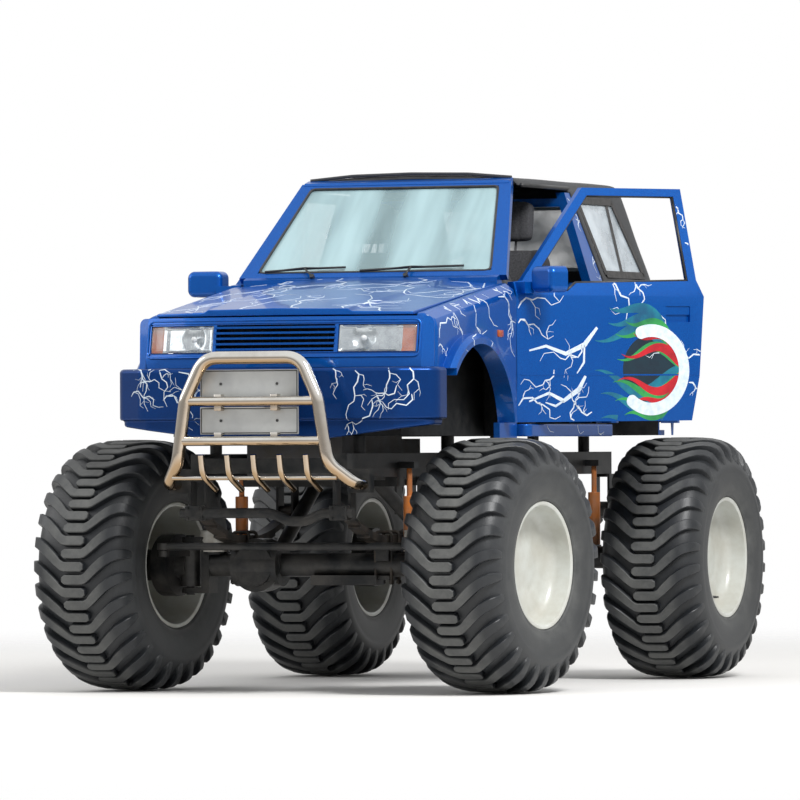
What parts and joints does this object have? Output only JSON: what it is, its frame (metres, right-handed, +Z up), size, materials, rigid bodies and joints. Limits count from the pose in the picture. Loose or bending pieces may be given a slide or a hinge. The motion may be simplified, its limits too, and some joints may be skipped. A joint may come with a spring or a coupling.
{
  "type": "monster truck",
  "caption": "Small soft-topped off-road car raised on a ladder frame with beam axles and very wide lugged tyres, one door open, front wheels turned a little.",
  "frame": {"origin": "middle of the whole car's floor space with the driver's door open, on the ground", "axes": "+Z up, -Y forwards, +X towards the car's left side"},
  "size_m": [2.6035, 3.844, 2.4513],
  "materials": {
    "tyre": "worn tread rubber",
    "rim": "cream gloss paint",
    "blue": "metallic blue paint",
    "black": "satin black paint",
    "trim": "grained black",
    "polished": "polished stainless tube",
    "silver": "silencer and pipe",
    "cast": "cast and machined",
    "glass": "clear",
    "lamp": "clear lens",
    "red_lens": "red lens",
    "cloth": "coated canvas",
    "clear_vinyl": "clear vinyl",
    "seat": "woven cover over foam",
    "white": "blank plates",
    "orange": "orange paint"
  },
  "bodies": {
    "chassis": {"blank_plates": "white", "bull_bar": "polished", "cross_tube": "black", "dampers": "orange", "dashboard": "trim", "engine": "cast", "exhaust": "silver", "frame": "black", "front_axle": "black", "front_bumper": "blue", "front_seats": "seat", "fuel_tank": "black", "headlamps": "lamp", "leaf_springs": "black", "nose_panel": "blue", "propshafts": "black", "quarter_left": "blue", "quarter_right": "blue", "rear_axle": "black", "rear_bumper": "blue", "roll_hoop": "blue", "side_steps": "blue", "soft_top": "cloth", "soft_top_windows": "clear_vinyl", "steering_wheel": "trim", "tail_lamps": "red_lens", "tub": "blue", "windscreen": "glass", "windscreen_frame": "blue", "wing_left": "blue", "wing_right": "blue"},
    "steer_left_body": {"knuckle_left": "black"},
    "steer_right_body": {"knuckle_right": "black"},
    "tie_rod_body": {"tie_rod": "black"},
    "wheel_front_left": {"tyre_front_left": "tyre", "rim_front_left": "rim"},
    "wheel_front_right": {"tyre_front_right": "tyre", "rim_front_right": "rim"},
    "wheel_rear_left": {"tyre_rear_left": "tyre", "rim_rear_left": "rim"},
    "wheel_rear_right": {"tyre_rear_right": "tyre", "rim_rear_right": "rim"},
    "door_left_body": {"door_left": "blue"},
    "door_right_body": {"door_right": "blue", "door_glass_right": "glass"},
    "hood_body": {"hood": "blue"},
    "tailgate_body": {"tailgate": "blue"}
  },
  "joints": [
    {"name": "steer_left", "type": "hinge", "parent": "chassis", "child": "steer_left_body", "pos_m": [0.57078, -1.1175, 0.59], "axis": [0, 0, 1], "range_deg": [-18.5, 31.5]},
    {"name": "steer_right", "type": "hinge", "parent": "chassis", "child": "steer_right_body", "pos_m": [-0.70322, -1.1175, 0.59], "axis": [0, 0, 1], "range_deg": [-18.5, 31.5]},
    {"name": "tie_rod_eye", "type": "hinge", "parent": "steer_left_body", "child": "tie_rod_body", "pos_m": [0.54248, -1.36589, 0.68], "axis": [0, 0, 1], "range_deg": [-31.5, 18.5]},
    {"name": "front_left_spin", "type": "hinge", "parent": "steer_left_body", "child": "wheel_front_left", "pos_m": [0.86935, -1.15152, 0.59], "axis": [0.9936, -0.1132, 0], "continuous": true},
    {"name": "front_right_spin", "type": "hinge", "parent": "steer_right_body", "child": "wheel_front_right", "pos_m": [-1.00179, -1.08348, 0.59], "axis": [0.9936, -0.1132, 0], "continuous": true},
    {"name": "rear_left_spin", "type": "hinge", "parent": "chassis", "child": "wheel_rear_left", "pos_m": [0.87128, 1.3325, 0.59], "axis": [1, 0, 0], "continuous": true},
    {"name": "rear_right_spin", "type": "hinge", "parent": "chassis", "child": "wheel_rear_right", "pos_m": [-1.00372, 1.3325, 0.59], "axis": [1, 0, 0], "continuous": true},
    {"name": "door_left_hinge", "type": "hinge", "parent": "chassis", "child": "door_left_body", "pos_m": [0.68378, -0.4245, 1.56], "axis": [0, 0, -1], "range_deg": [-35, 30]},
    {"name": "door_right_hinge", "type": "hinge", "parent": "chassis", "child": "door_right_body", "pos_m": [-0.81622, -0.4245, 1.56], "axis": [0, 0, 1], "range_deg": [0, 65]},
    {"name": "hood_hinge", "type": "hinge", "parent": "chassis", "child": "hood_body", "pos_m": [-0.06622, -0.4415, 1.942], "axis": [-1, 0, 0], "range_deg": [0, 50]},
    {"name": "tailgate_hinge", "type": "hinge", "parent": "chassis", "child": "tailgate_body", "pos_m": [-0.67422, 1.7545, 1.68], "axis": [0, 0, 1], "range_deg": [0, 90]}
  ],
  "couplings": [
    {"joint": "steer_right", "follows": "steer_left", "ratio": 1},
    {"joint": "tie_rod_eye", "follows": "steer_left", "ratio": -1}
  ]
}
